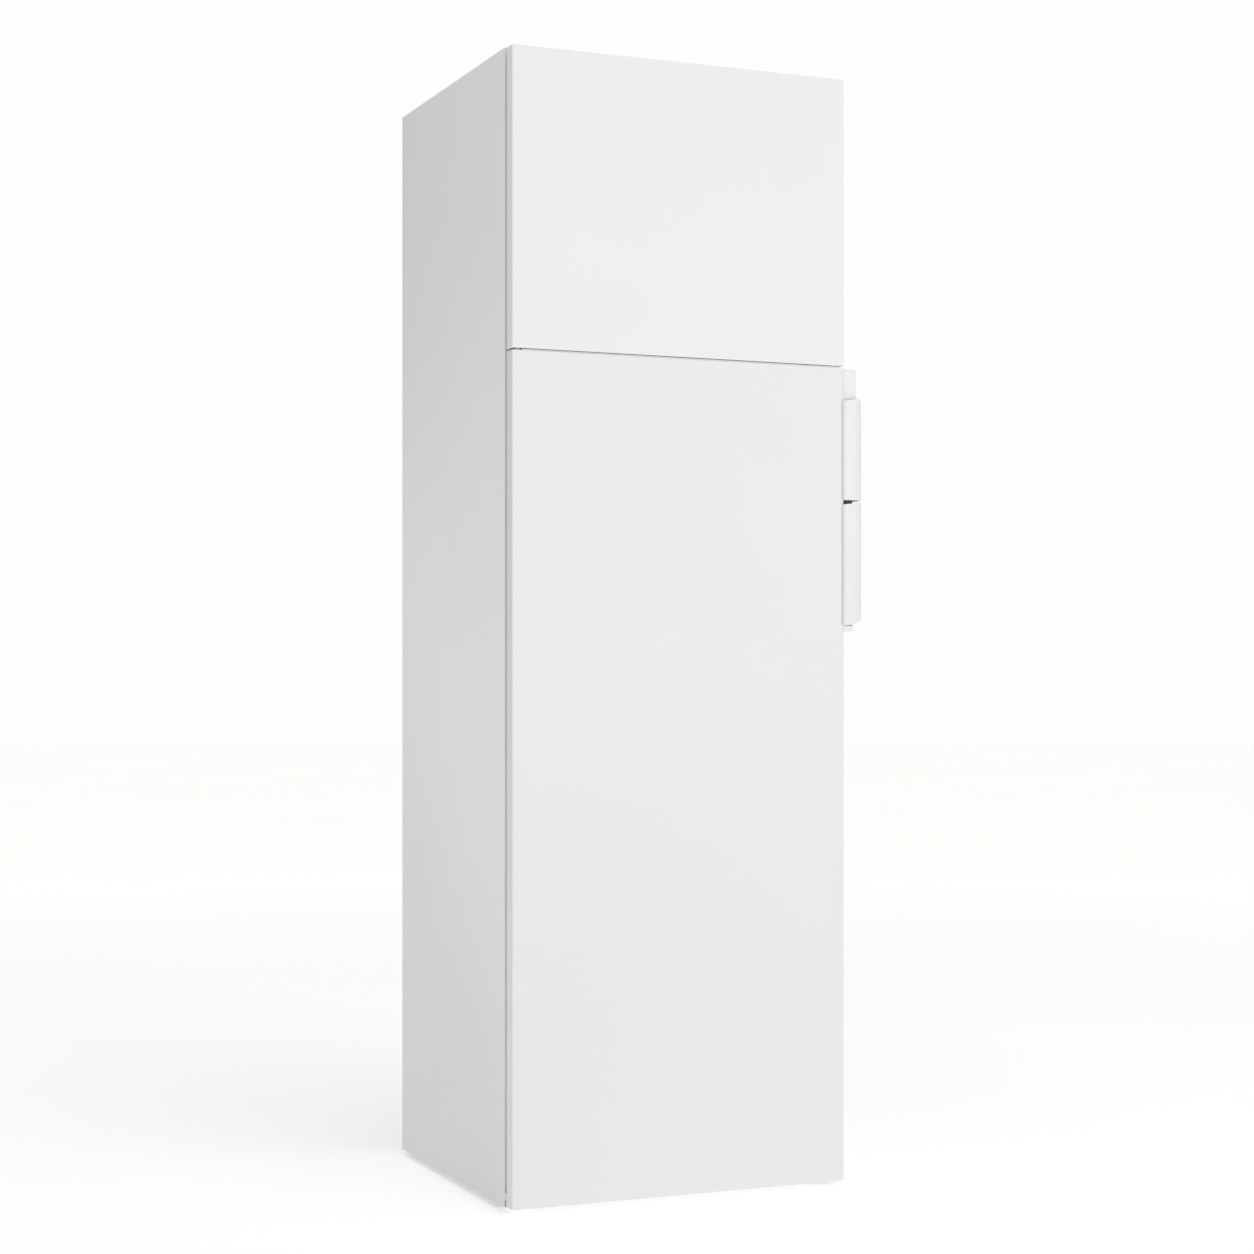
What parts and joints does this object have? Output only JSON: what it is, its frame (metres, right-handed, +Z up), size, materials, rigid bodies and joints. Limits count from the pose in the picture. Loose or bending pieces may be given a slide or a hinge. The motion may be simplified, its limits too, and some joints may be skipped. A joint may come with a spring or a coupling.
{
  "type": "top freezer refrigerator",
  "caption": "Tall free-standing refrigerator with a small freezer compartment on top, two flat doors hinged on the left and one two-part grip beside the lower door.",
  "frame": {"origin": "on the floor, under the centre of the whole object's bounding box", "axes": "+Z up, -Y towards the doors, +X to the right as one faces the doors"},
  "size_m": [0.638, 0.5936, 1.88],
  "materials": {
    "white_steel": "satin powder coat",
    "galvanised_back": "galvanised sheet",
    "galvanised_steel": "zinc plated",
    "insulation": "rigid foam",
    "liner_plastic": "vacuum formed, semi-gloss",
    "white_plastic": "moulded, semi-gloss",
    "black_steel": "satin black paint",
    "black_rubber": "matte",
    "black_plastic": "fine texture",
    "copper_line": "drawn copper tube",
    "evaporator_aluminium": "roll bonded",
    "clear_plastic": "clear moulded",
    "shelf_glass": "tempered, clear",
    "coated_wire": "plastic coated wire",
    "roller_plastic": "nylon",
    "grey_rubber": "soft, matte"
  },
  "bodies": {
    "cabinet": {"side_panel_left": "white_steel", "side_panel_right": "white_steel", "top_panel": "white_steel", "back_panel": "galvanised_back", "insulation_foam": "insulation", "freezer_liner": "liner_plastic", "fridge_liner": "liner_plastic", "mullion_rail": "white_steel", "base_front_rail": "white_steel", "base_frame": "galvanised_steel", "compressor": "black_steel", "compressor_grommets": "black_rubber", "terminal_box": "black_plastic", "evaporation_tray": "black_plastic", "condenser_tube": "black_steel", "condenser_wires": "black_steel", "refrigerant_lines": "copper_line", "evaporator_plates": "evaporator_aluminium", "drain_tube": "white_plastic", "control_housing": "white_plastic", "lamp_cover": "clear_plastic", "shelf_glass_upper": "shelf_glass", "shelf_glass_middle": "shelf_glass", "shelf_glass_lower": "shelf_glass", "shelf_trims": "white_plastic", "crisper_glass": "shelf_glass", "freezer_shelf": "coated_wire", "top_hinge": "white_steel", "middle_hinge": "white_steel", "bottom_hinge": "white_steel", "hinge_bolts": "galvanised_steel", "roller_axles": "galvanised_steel"},
    "temperature_knob": {"temperature_knob": "white_plastic"},
    "door_switch": {"door_switch_plunger": "white_plastic"},
    "crisper": {"crisper_drawer": "clear_plastic"},
    "foot_left": {"foot_left": "black_plastic"},
    "foot_right": {"foot_right": "black_plastic"},
    "roller_left": {"roller_left": "roller_plastic"},
    "roller_right": {"roller_right": "roller_plastic"},
    "freezer_door": {"freezer_door_skin": "white_steel", "freezer_door_caps": "white_plastic", "freezer_door_foam": "insulation", "freezer_door_liner": "liner_plastic", "freezer_door_gasket": "grey_rubber", "freezer_door_bins": "clear_plastic", "freezer_grip": "white_plastic"},
    "fridge_door": {"fridge_door_skin": "white_steel", "fridge_door_caps": "white_plastic", "fridge_door_foam": "insulation", "fridge_door_liner": "liner_plastic", "fridge_door_gasket": "grey_rubber", "dairy_box": "clear_plastic", "door_bins": "clear_plastic", "bottle_bin": "clear_plastic", "handle_rail": "black_plastic", "handle_end_blocks": "white_plastic", "upper_grip": "white_plastic", "lower_grip": "white_plastic", "handle_screws": "galvanised_steel"},
    "dairy_lid": {"dairy_lid": "clear_plastic"}
  },
  "joints": [
    {"name": "freezer_door_hinge", "type": "hinge", "parent": "cabinet", "child": "freezer_door", "pos_m": [-0.305, -0.2778, 1.878], "axis": [0, 0, -1], "range_deg": [0, 120]},
    {"name": "fridge_door_hinge", "type": "hinge", "parent": "cabinet", "child": "fridge_door", "pos_m": [-0.305, -0.2778, 1.389], "axis": [0, 0, -1], "range_deg": [0, 120]},
    {"name": "door_switch_press", "type": "slide", "parent": "cabinet", "child": "door_switch", "axis": [0, -1, 0], "range_m": [0, 0.0061]},
    {"name": "crisper_slide", "type": "slide", "parent": "cabinet", "child": "crisper", "axis": [0, -1, 0], "range_m": [0, 0.05]},
    {"name": "dairy_lid_hinge", "type": "hinge", "parent": "fridge_door", "child": "dairy_lid", "pos_m": [-0.019, -0.2118, 1.222], "axis": [1, 0, 0], "range_deg": [0, 75]},
    {"name": "thermostat_turn", "type": "hinge", "parent": "cabinet", "child": "temperature_knob", "pos_m": [-0.019, -0.1258, 1.3225], "axis": [0, 0, -1], "range_deg": [0, 270]},
    {"name": "foot_left_turn", "type": "hinge", "parent": "cabinet", "child": "foot_left", "pos_m": [-0.281, -0.1958, 0.02], "axis": [0, 0, 1], "continuous": true},
    {"name": "foot_right_turn", "type": "hinge", "parent": "cabinet", "child": "foot_right", "pos_m": [0.243, -0.1958, 0.02], "axis": [0, 0, 1], "continuous": true},
    {"name": "roller_left_spin", "type": "hinge", "parent": "cabinet", "child": "roller_left", "pos_m": [-0.292, 0.2442, 0.015], "axis": [1, 0, 0], "continuous": true},
    {"name": "roller_right_spin", "type": "hinge", "parent": "cabinet", "child": "roller_right", "pos_m": [0.254, 0.2442, 0.015], "axis": [1, 0, 0], "continuous": true}
  ],
  "couplings": [
    {"joint": "door_switch_press", "follows": "fridge_door_hinge", "m_per_rad": 0.002864}
  ]
}
